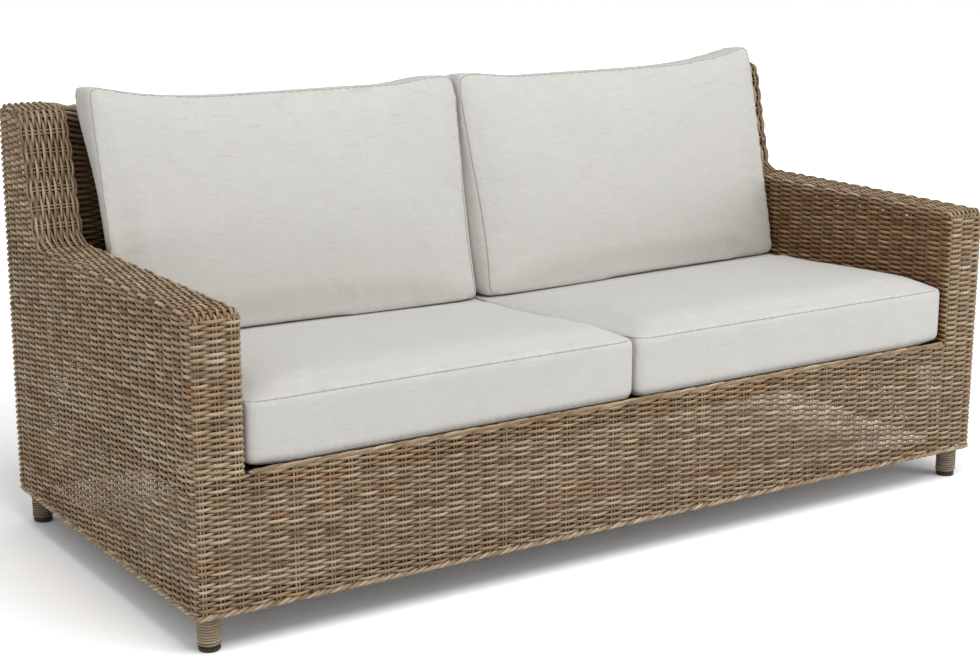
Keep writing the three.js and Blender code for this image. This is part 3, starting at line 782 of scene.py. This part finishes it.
def weave_strip(side_name):
    track = STRIP_TRACK
    on_arm = SIDE_PLACES[SIDE_PLACES < WING_BASE_Y - WING_FILLET]
    first = pairs_on(track, (on_arm, arm_top(on_arm)))
    further = np.arange(first[-1] + STRIP_PAIR_PITCH, track.length - 0.01, STRIP_PAIR_PITCH)
    pairs = np.concatenate([first, further])
    surface = strip_surface(SIDES[side_name])
    weave = Weave(f"weave_arm_{side_name}", surface, pairs, f"skin_arm_top_{side_name}")
    rows = round(STRIP_ACROSS / STRIP_PITCH)
    wing = track.nearest([(WING_BASE_Y, ARM_REAR_TOP)])[0]
    for row in range(rows + STRIP_TUCKED_ROWS):
        low = 0 if row < rows else wing
        u = weave.steps(low, track.length)
        ends = 2 - smooth(u, low, low + TUCK) - smooth(track.length - u, 0, TUCK)
        across = (row + 0.5) * STRIP_ACROSS / rows
        weave.weaver(u, across, row, depth=TUCK_DEPTH * ends, wide=STRIP_WIDE)
    weave.stakes(pairs, 0, STRIP_ACROSS, steps=16)
    weave.finish()


# The woven back and its top: rows that run from wing to wing

BACK_FOOT = 0.300


def weave_back():
    corners = [
        (lean_y(BACK_FOOT, BACK_INSET), BACK_FOOT),
        (lean_y(BACK_TOP, BACK_INSET), BACK_TOP, BEND_ROUND),
        (HALF_DEPTH, BACK_TOP, BEND_ROUND),
        (HALF_DEPTH, BACK_TOP - BEND_ROUND),
    ]
    track = Track(corners, side=-1)

    def surface(x, v):
        x, v = np.broadcast_arrays(x, v)
        point, normal = track.at(v)
        y, z = point.T
        return np.column_stack([x, y, z - back_dip(x, z)]), np.column_stack([np.zeros(len(x)), normal])

    weave = Weave("weave_back", surface, APRON_PLACES, "skin_back_inner", "skin_back_top")
    end = ARM_INNER + TUCK / 3
    u = weave.steps(-end, end, per_pair=4)
    rows = round(track.length / BACK_PITCH)
    for row in range(rows):
        weave.weaver(u, (row + 0.5) * track.length / rows, row, wide=REAR_WIDE)
    weave.stakes(APRON_PLACES, 0, track.length, steps=50)
    weave.finish()


# Rope rims and coils

ROPE_LAY = 0.052
ROPE_STRAND = 0.0031
ROPE_SPREAD = 0.0031
ROPE_STEP = 0.0045
ROPE_WOBBLE = 0.5
CANE_DRIFT = 0.08
BORDER_RADIUS = 0.0022
BORDER_RISE = 0.0128
BORDER_SUNK = 0.0028
BORDER_REACH = 2.05
BORDER_DEPTHS = (0.0070, -0.0042, 0.0105)
BORDER_STRANDS = 4
BORDER_STEP = (0.0012, 0.0020)
BORDER_DRIFT = 0.12
COIL_CANE = 0.0024
COIL_PITCH = 0.0052


def apron_border():
    """The apron's stakes bend over to the right in low arches, each behind the next pair."""
    border = Strands(6)
    t = np.linspace(0, 1, 14)
    pitch = APRON_PLACES[1] - APRON_PLACES[0]
    out = np.array([0.0, -1.0, 0.3])
    for place in with_ends(APRON_PLACES):
        high = BORDER_RISE * rng.uniform(0.92, 1.03)
        for k in range(BORDER_STRANDS):
            ahead = pitch * BORDER_REACH * (t - BORDER_DRIFT * np.sin(math.tau * t))
            x = place + STAKE_SPREAD * (k - 1.5) + ahead
            y = BORDER_DEPTHS[0] * (1 - t) ** 2 + 2 * BORDER_DEPTHS[1] * t * (1 - t)
            y = y + BORDER_DEPTHS[2] * t**2 + BORDER_STEP[0] * k
            z = APRON_WEAVE_TOP - BORDER_SUNK + high * np.sin(math.pi * t) ** 0.8 - BORDER_STEP[1] * k
            inside = np.abs(x) < ARM_INNER - BORDER_RADIUS
            if inside.sum() < 4:
                continue
            line = np.column_stack([x, y - HALF_DEPTH, z])[inside]
            radius = BORDER_RADIUS * rng.uniform(0.93, 1.05)
            # The lift paints shade on the arch's ends, where it dips under
            border.add(line, out, radius, lift=np.sin(math.pi * t)[inside])
    border.build("border_apron", rattan_rope, "rattan_rope", "rim_apron")


def skirt_rope():
    """Three strands laid round each other along the skirt's bottom edges."""
    skirt = Strands(6)
    track = base_track()
    u = np.linspace(0, track.length, int(track.length / ROPE_STEP))
    point, normal = track.at(u)
    out = with_height(normal)
    centre = with_height(point, (SKIRT_BOTTOM + SKIRT_RIM_TOP) / 2) - out * (ROPE_STRAND + ROPE_SPREAD)
    for k in range(3):
        turn = math.tau * (u / ROPE_LAY + k / 3) + wander(u, ROPE_WOBBLE)
        aside = out * np.cos(turn)[:, None]
        aside[:, 2] += np.sin(turn)
        radius = ROPE_STRAND * (1 + wander(u, CANE_DRIFT))
        # The lift paints shade on each strand where it turns in under the others
        skirt.add(centre + aside * ROPE_SPREAD, out, radius, lift=0.5 + 0.5 * np.cos(turn))
    nodes = [f"rim_skirt_{end}" for end in ("front", "rear", "left", "right")]
    skirt.build("rope_skirt", rattan_rope, "rattan_rope", *nodes)


def foot_coils():
    for corner in ("front_left", "front_right", "rear_left", "rear_right"):
        node = f"foot_wrap_{corner}"
        low, high = np.array(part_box(node))
        middle = (low + high) / 2
        radius = (high[0] - low[0]) / 2 - COIL_CANE
        turns = (high[2] - low[2] - 2 * COIL_CANE) / COIL_PITCH
        angle = np.linspace(0, math.tau * turns, int(turns * 20))
        out = with_height(np.column_stack([np.cos(angle), np.sin(angle)]))
        line = middle + out * radius
        line[:, 2] = low[2] + COIL_CANE + angle / math.tau * COIL_PITCH
        coil = Strands(6)
        coil.add(line, out, COIL_CANE * (1 + wander(angle * radius, CANE_DRIFT)))
        coil.build(f"foot_coil_{corner}", split_cane, "split_cane", node)


# Cushions: a boxed linen cover over a core, swollen as cloth under pressure

CUSHION_VOXEL = 0.0085
SEAT_LOW, SEAT_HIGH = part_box("seat_cover_right")
BACK_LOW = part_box("back_cover_right")[0]
CUSHION_MIDDLE = (SEAT_LOW[0] + SEAT_HIGH[0]) / 2
CUSHION_HALF = (SEAT_HIGH[0] - SEAT_LOW[0]) / 2
CUSHION_STEPS = 36
CUSHION_GAP = 0.0006
STAND_GAP = 0.0004
SEAT_SLOPE = 0.35
POINT_BLOCK = 2000
HOLD_REACH = 0.018
HOLD_FADE = 0.14
HOLD_STEPS = 24
STAND_Y = BACK_LOW[1] - 0.02
SEAT_SEAM = SEAT_LOW[2] + 0.1265
SEAT_CROWN = 0.023
SEAT_CORNER_RISE = 0.006
UNDER_RISE = 0.007
UNDER_REACH = 0.010
CORNER_CUT = 0.006
REST_SINK = (0.010, 0.011)
BACK_MIDDLE = 0.078
BACK_REACH = 0.048
BACK_CENTRE = (0.667, 0.23)
BACK_SAG = 0.8865
BACK_RISES = (0.013, 0.039)
BACK_CUTS = (0.004, 0.007)
BACK_TOP_SLOPE = 0.008
BACK_OUTER = (0.004, 0.006, 0.030)
BACK_INNER = (0.002, 0.002, 0.018)
BACK_SWELL = 0.005
BACK_PINCH = 0.004
SEAT_INSETS = (0.003, 0.004)
SEAT_DRAWN = (0.002, 0.001)
SEAT_CAPS = (0.003, 0.006)
BACK_CAPS = (0.006, 0.020)
SEAM_RADIUS = 0.0011
SEAM_GROOVE = 0.0015
SEAM_SHOWN = 0.0016
SEAM_REACH = 0.007
PUCKER = 0.0003
PUCKER_REACH = 0.020
PUCKER_GAP = 0.006
RIPPLES = ((1.0, 210, 0.0), (0.7, 137, 1.3), (0.5, 71, 0.4))


def rest_height(a):
    """Where the back cushions stand on the seat cushions: lower towards the sofa's middle."""
    return BACK_LOW[2] - REST_SINK[0] - REST_SINK[1] * ((1 - np.clip(a, -1, 1)) / 2) ** 1.5


def back_shape(a, b, c):
    """A back cushion's resting form from a place in a cube: across, up and towards the front.
    It is the right one, whose outer end stands at a = 1 and has the higher corner."""
    up = (b + 1) / 2
    behind = (1 - c) / 2
    flare = behind * (1 - smooth(up, 0.45, 1.0))
    outer = BACK_OUTER[0] + BACK_OUTER[1] * c**2 + BACK_OUTER[2] * flare
    dented = smooth(up, -0.35, 0.25) * (1 - smooth(up, 0.25, 0.95))
    inner = BACK_INNER[0] + (BACK_INNER[1] + BACK_INNER[2] * dented) * c**2
    x = a * (CUSHION_HALF - np.where(a > 0, outer, inner))
    low = rest_height(a) + 0.001
    ear = np.where(a > 0, BACK_RISES[1] * np.abs(a) ** 3.2, BACK_RISES[0] * smooth(-a, 0.58, 0.94))
    high = BACK_SAG + ear - BACK_TOP_SLOPE * behind
    corner = np.where(b > 0, BACK_CUTS[1], BACK_CUTS[0]) * np.abs(a) ** 30 * np.abs(b) ** 16
    z = low + (high - low) * up - np.sign(b) * corner
    x = x - np.sign(a) * corner
    swell = (1 - a**4) * (1 - b**4)
    w = BACK_MIDDLE + c * (BACK_REACH + BACK_SWELL * swell)
    w = w - BACK_PINCH * (np.abs(a) ** 8 + np.abs(b) ** 8) * c
    return np.column_stack([x, lean_y(z, BACK_INSET) - w, z])


def seat_shape(a, b, c):
    """A seat cushion's resting form: across, towards the rear and up."""
    corner = CORNER_CUT * np.abs(a) ** 24 * np.abs(b) ** 18
    half_x = CUSHION_HALF - SEAT_DRAWN[0] * (1 - b**2)
    front, rear = SEAT_LOW[1] - SEAT_INSETS[0], SEAT_HIGH[1] - SEAT_INSETS[1]
    half_y = (rear - front) / 2
    x = a * half_x - np.sign(a) * corner
    y = (front + rear) / 2 + b * (half_y - SEAT_DRAWN[1] * (1 - a**2)) - np.sign(b) * corner
    edge = np.minimum(half_x * (1 - np.abs(a)), half_y * (1 - np.abs(b)))
    low = SEAT_LOW[2] + 0.001 + UNDER_RISE * np.exp(-((edge / UNDER_REACH) ** 2))
    low = low + SEAT_CORNER_RISE * smooth(a, 0.75, 1.0) * smooth(-b, 0.6, 1.0)
    fall = SEAT_SEAM - rest_height(a) + 0.003
    swell = (1 - np.abs(a) ** 9) * (1 - np.abs(b) ** 9)
    high = SEAT_SEAM - fall * smooth(b, -1.3, 0.7) + SEAT_CROWN * swell
    return np.column_stack([x, y, low + (high - low) * (c + 1) / 2])


def cube_grid(steps):
    """Points on a cube from -1 to 1, closer near its edges, and its quads."""
    index, quads = {}, []
    for axis in range(3):
        for end in (0, steps):
            for i, j in np.ndindex(steps, steps):
                ring = [(i, j), (i + 1, j), (i + 1, j + 1), (i, j + 1)]
                quad = []
                for p, q in ring if end else ring[::-1]:
                    place = ((end, p, q), (q, end, p), (p, q, end))[axis]
                    quad.append(index.setdefault(place, len(index)))
                quads.append(quad)
    points = 2 * np.array(list(index), float) / steps - 1
    return np.sin(points * math.pi / 2), quads


def evaluated(piece):
    graph = bpy.context.evaluated_depsgraph_get()
    return bpy.data.meshes.new_from_object(piece.evaluated_get(graph))


def apply_modifiers(piece):
    piece.data = evaluated(piece)
    piece.modifiers.clear()


def simulate(piece):
    """Swells the piece under pressure, and returns where its points go."""
    cloth = piece.modifiers.new("cloth", "CLOTH").settings
    cloth.quality = 5
    cloth.mass = 0.3
    cloth.tension_stiffness = cloth.compression_stiffness = 12
    cloth.shear_stiffness = 4
    cloth.bending_stiffness = 0.6
    cloth.use_pressure = True
    cloth.uniform_pressure_force = 4.0
    cloth.effector_weights.gravity = 0
    scene = bpy.context.scene
    for number in range(1, 21):
        scene.frame_set(number)
    moved = read(evaluated(piece))
    piece.modifiers.clear()
    scene.frame_set(1)
    return moved


def stretched(points, axis, low, high):
    """Puts back what the cover drew in: the points reach from low to high again."""
    least, most = points[:, axis].min(), points[:, axis].max()
    points[:, axis] = low + (points[:, axis] - least) * (high - low) / (most - least)


def swollen_form(name, shape, cap, box, limits):
    """A cushion in the middle of the sofa, with where its points and its seams lie once swollen."""
    cube, quads = cube_grid(CUSHION_STEPS)
    mesh = bpy.data.meshes.new(name)
    mesh.from_pydata(shape(*cube.T).tolist(), [], quads)
    piece = add_object(name, mesh)
    remesh = piece.modifiers.new("remesh", "REMESH")
    remesh.mode = "VOXEL"
    remesh.voxel_size = CUSHION_VOXEL
    apply_modifiers(piece)
    rest = read(piece.data)
    seams = [ring_on(shape, end) for end in (-1, 1)]
    one, up = np.ones(HOLD_STEPS), np.linspace(-1, 1, HOLD_STEPS)
    corners = [shape(a * one, b * one, up) for a in (-1, 1) for b in (-1, 1)]
    moved = rest.copy()
    move = simulate(piece) - rest
    size = norm(move)
    allowed = cap(rest)
    move *= (allowed * np.tanh(size / allowed) / np.maximum(size, 1e-9))[:, None]
    moved = held(rest, rest + move, np.concatenate(seams + corners))
    for axis, low, high in box:
        stretched(moved, axis, low, high)
    limits(moved)
    return piece, moved, [nearest_shift(rest, moved, seam) for seam in seams]


def distances(points, line):
    """Blocks of the points, each with how far its points lie from those of a line."""
    for start in range(0, len(points), POINT_BLOCK):
        part = slice(start, start + POINT_BLOCK)
        yield part, norm(points[part, None] - line)


def held(rest, moved, line):
    """Draws the swollen cover back until its seams lie where they are at rest."""
    pull = line - nearest_shift(rest, moved, line)
    result = moved.copy()
    for part, gap in distances(rest, line):
        near = np.exp(-((gap / HOLD_REACH) ** 2)) + 1e-12
        fade = np.exp(-((gap.min(1) / HOLD_FADE) ** 2))
        result[part] += near @ pull / near.sum(1)[:, None] * fade[:, None]
    return result


def nearest_shift(rest, moved, line):
    """Where points on the resting form lie on the swollen one."""
    path = np.empty_like(line)
    for k, point in enumerate(line):
        distance = norm(rest - point)
        near = distance.argpartition(6)[:6]
        weight = 1 / (distance[near] + 0.002)
        path[k] = point + ((moved - rest)[near] * weight[:, None]).sum(0) / weight.sum()
    return path


def smoothed(path, turns=2):
    for _ in range(turns):
        path = (np.roll(path, 1, 0) + 2 * path + np.roll(path, -1, 0)) / 4
    return path


def sew(points, normals, path):
    """Draws the cover in along a seam, with small puckers beside it."""
    nearest, place = np.zeros((2, len(points)))
    for part, gap in distances(points, path):
        nearest[part], place[part] = gap.min(1), gap.argmin(1)
    groove = np.exp(-((nearest / SEAM_REACH) ** 2)) * SEAM_GROOVE
    along = place * norm(np.diff(path, axis=0)).mean()
    ripple = sum(share * np.sin(along * rate + start) for share, rate, start in RIPPLES)
    beside = np.exp(-nearest / PUCKER_REACH) * (1 - np.exp(-nearest / PUCKER_GAP))
    return points - normals * (groove + PUCKER * ripple * beside)[:, None]


def surface_at(points, normals, path, out):
    """The path's places on a surface, a way out along its normals."""
    placed = np.empty_like(path)
    for k, point in enumerate(path):
        near = norm(points - point).argpartition(6)[:6]
        normal = unit(normals[near].mean(0))
        lift = ((points[near] - point) @ normal).mean() + out
        placed[k] = point + normal * lift
    return placed


def finish_form(piece, moved, lines):
    """Subdivides the swollen mesh and sews its seams; returns the seams' paths."""
    fill(piece.data.vertices, "co", moved)
    finer = piece.modifiers.new("finer", "SUBSURF")
    finer.levels = finer.render_levels = 1
    apply_modifiers(piece)
    mesh = piece.data
    points, normals = read(mesh), read(mesh, "normal")
    paths = [smoothed(surface_at(points, normals, line, 0.0)) for line in lines]
    for path in paths:
        points = sew(points, normals, path)
    fill(mesh.vertices, "co", points)
    mesh.update()
    points, normals = read(mesh), read(mesh, "normal")
    paths = [surface_at(points, normals, path, SEAM_SHOWN - SEAM_RADIUS) for path in paths]
    mesh.shade_smooth()
    mesh.materials.clear()
    mesh.materials.append(linen)
    return paths


def place_cushion(kind, side_name, form, paths):
    """A copy of a cushion's form, with its seams: the left ones mirror the right ones."""
    body = f"{kind}_cushion_{side_name}"
    turn = SIDES[side_name]
    mesh = form.data.copy()
    center = turn * CUSHION_MIDDLE
    mesh.transform(Matrix.Translation((center, 0, 0)) @ Matrix.Diagonal((turn, 1, 1, 1)))
    if turn < 0:
        mesh.flip_normals()
    nodes = [f"{kind}_{part}_{side_name}" for part in ("cover", "foam")]
    add_piece(body, mesh, body, "linen", *nodes)
    for k, path in enumerate(paths):
        ring = np.concatenate([path, path[:1]]) * [turn, 1, 1] + [center, 0, 0]
        cord = Strands(6)
        cord.add(ring, ring - ring.mean(0), SEAM_RADIUS)
        cord.build(f"seam_{kind}_{side_name}_{k + 1}", seam_linen, "linen", body=body)


def ring_on(shape, end, steps=44):
    """A line round the edge of the resting form, on its lower or its upper side."""
    ends, one = np.linspace(-1, 1, steps, endpoint=False), np.ones(steps)
    p = np.concatenate([ends, one, -ends, -one])
    q = np.concatenate([-one, ends, one, -ends])
    return shape(p, q, np.full(len(p), end))


def seat_cap(place):
    """How far each point may move, more above the seam."""
    return SEAT_CAPS[0] + SEAT_CAPS[1] * smooth(place[:, 2], SEAT_SEAM, SEAT_SEAM + 0.01)


def seat_limits(points):
    in_front = np.maximum(STAND_Y - points[:, 1], 0)
    top = rest_height(points[:, 0] / CUSHION_HALF) - CUSHION_GAP + in_front * SEAT_SLOPE
    points[:, 2] = np.clip(points[:, 2], SEAT_LOW[2] + STAND_GAP, top)


def back_cap(place):
    a = place[:, 0] / CUSHION_HALF
    b = (place[:, 2] - BACK_CENTRE[0]) / BACK_CENTRE[1]
    inner = np.clip((1 - a**2) * (1 - b**2), 0, 1)
    return BACK_CAPS[0] + BACK_CAPS[1] * inner


def back_limits(points):
    points[:, 2] = np.maximum(points[:, 2], rest_height(points[:, 0] / CUSHION_HALF) + STAND_GAP)
    wall = lean_y(points[:, 2], BACK_INSET) - 0.002
    points[:, 1] = np.minimum(points[:, 1], wall)


def add_cushions():
    half = CUSHION_HALF - CUSHION_GAP
    seat_box = [(0, -half, half), (1, SEAT_LOW[1] - 0.005, SEAT_HIGH[1] - 0.001)]
    kinds = (
        ("seat", seat_shape, seat_cap, seat_box, seat_limits),
        ("back", back_shape, back_cap, [(0, -half, half)], back_limits),
    )
    for kind, shape, cap, box, limits in kinds:
        form, moved, seams = swollen_form(f"{kind}_form", shape, cap, box, limits)
        paths = finish_form(form, moved, seams)
        for side_name in SIDES:
            place_cushion(kind, side_name, form, paths)
        bpy.data.objects.remove(form)


# Camera, floor and light

CAMERA_PLACE = (-2.1984, -3.2437, 1.3186)
CAMERA_YAW = 0.5834
CAMERA_PITCH = -0.2356
CAMERA_ROLL = 0.0024
CAMERA_LENS = 69.31


def add_camera():
    data = bpy.data.cameras.new("camera")
    data.lens = CAMERA_LENS
    data.sensor_width = 36
    data.clip_end = 60
    camera = add_object("camera", data)
    turn = Matrix.Rotation(-CAMERA_YAW, 4, "Z") @ Matrix.Rotation(math.pi / 2 + CAMERA_PITCH, 4, "X")
    camera.matrix_world = Matrix.Translation(CAMERA_PLACE) @ turn @ Matrix.Rotation(CAMERA_ROLL, 4, "Z")
    bpy.context.scene.camera = camera


def add_area(name, place, target, size, power):
    data = bpy.data.lights.new(name, "AREA")
    data.shape = "RECTANGLE"
    data.size, data.size_y = size
    data.energy = power
    lamp = add_object(name, data)
    lamp.location = place
    lamp.rotation_mode = "QUATERNION"
    lamp.rotation_quaternion = (Vector(target) - Vector(place)).to_track_quat("-Z", "Y")


WORLD_LIGHT = 0.55
FLOOR_SHADE = 0.8
FLOOR_SEEN = 1.35
FLOOR_SIZE = 12.0
FLOOR_GLOW = (1.5, 3.5)
# Each lamp's place, aim, size and power
LAMPS = {
    "key": ((-0.3, -2.2, 4.2), (0, 0, 0.4), (2.8, 2.8), 107),
    "fill": ((2.8, -3.2, 1.3), (0.3, -0.4, 0.3), (2.4, 1.8), 42),
    "side": ((-4.2, -1.6, 0.35), (-0.9, -0.3, 0.35), (2.6, 0.6), 23),
}


def camera_rays(nodes):
    """1 where the camera looks, also by a mirror or glass, and 0 for the light itself."""
    path = nodes.node("LightPath").outputs
    seen = nodes.math("MAXIMUM", path["Is Camera Ray"], path["Is Glossy Ray"])
    return nodes.math("MAXIMUM", seen, path["Is Transmission Ray"])


def add_world():
    world = bpy.data.worlds.new("studio")
    bpy.context.scene.world = world
    world.use_nodes = True
    nodes = Nodes(world.node_tree)
    settings = {"Value": camera_rays(nodes), "To Min": WORLD_LIGHT, "To Max": 1.0}
    background = nodes.tree.nodes["Background"].inputs
    nodes.put(background["Strength"], nodes.node("MapRange", settings))
    nodes.put(background["Color"], "#ffffff")


def add_floor():
    """A pale floor. The camera sees it brighter than it is lit, and white far from the sofa."""
    mesh = bpy.data.meshes.new("floor")
    corners = [(x * FLOOR_SIZE, y * FLOOR_SIZE, 0) for x, y in ((-1, -1), (1, -1), (1, 1), (-1, 1))]
    mesh.from_pydata(corners, [], [(0, 1, 2, 3)])
    look = Look("floor", 1.0, 0.0)
    seen = camera_rays(look)
    bright = look.math("MULTIPLY_ADD", seen, FLOOR_SEEN - FLOOR_SHADE, FLOOR_SHADE)
    diffuse = look.node("BsdfDiffuse", {"Color": look.vector(bright, bright, bright)})
    away = look.node("VectorMath", {0: look.place()}, operation="LENGTH").outputs["Value"]
    near, far = FLOOR_GLOW
    glow = look.node("MapRange", {"Value": away, "From Min": near, "From Max": far})
    glow = look.node("Emission", {"Strength": look.product(glow, seen)})
    both = look.node("AddShader", {0: diffuse, 1: glow})
    look.put(look.tree.nodes["Material Output"].inputs["Surface"], both)
    mesh.materials.append(look.material)
    add_object("floor", mesh)


def main():
    bpy.context.scene.view_settings.view_transform = "Standard"
    add_camera()
    add_world()
    for name, lamp in LAMPS.items():
        add_area(name, *lamp)
    add_floor()
    dress_cad()
    rows = weave_base()
    weave_upper(rows)
    for side_name in SIDES:
        weave_strip(side_name)
    weave_back()
    apron_border()
    skirt_rope()
    foot_coils()
    add_cushions()


main()
